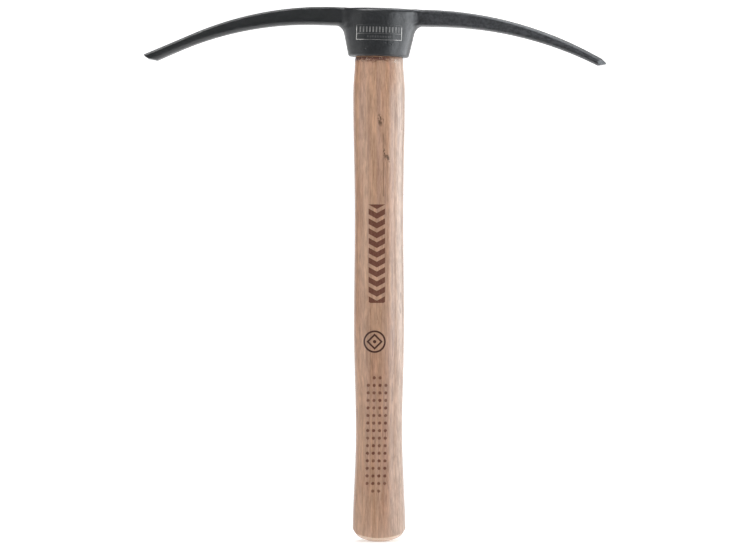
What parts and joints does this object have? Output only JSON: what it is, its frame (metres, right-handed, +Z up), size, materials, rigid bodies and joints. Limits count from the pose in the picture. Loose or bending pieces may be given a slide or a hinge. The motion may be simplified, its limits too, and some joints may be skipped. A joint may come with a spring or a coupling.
{
  "type": "hand pick",
  "caption": "Short one-hand pick with a forged head, a chisel at one end and a square point at the other, wedged onto an oval hickory handle.",
  "frame": {"origin": "centre of the small flat on the handle's butt end", "axes": "+Z up the handle to the head, +X towards the head's square point, -X towards its chisel, -Y the marked front face"},
  "size_m": [0.3285, 0.0376, 0.3797],
  "materials": {
    "forged_black": "thin black coating over forged steel, satin",
    "hickory": "sanded hickory, thin clear lacquer",
    "wedge_wood": "bare split hardwood",
    "wedge_steel": "bare cut steel"
  },
  "bodies": {
    "root": {"pick_head": "forged_black", "handle": "hickory", "wooden_wedge": "wedge_wood", "steel_wedge_chisel_side": "wedge_steel", "steel_wedge_point_side": "wedge_steel"}
  },
  "joints": []
}
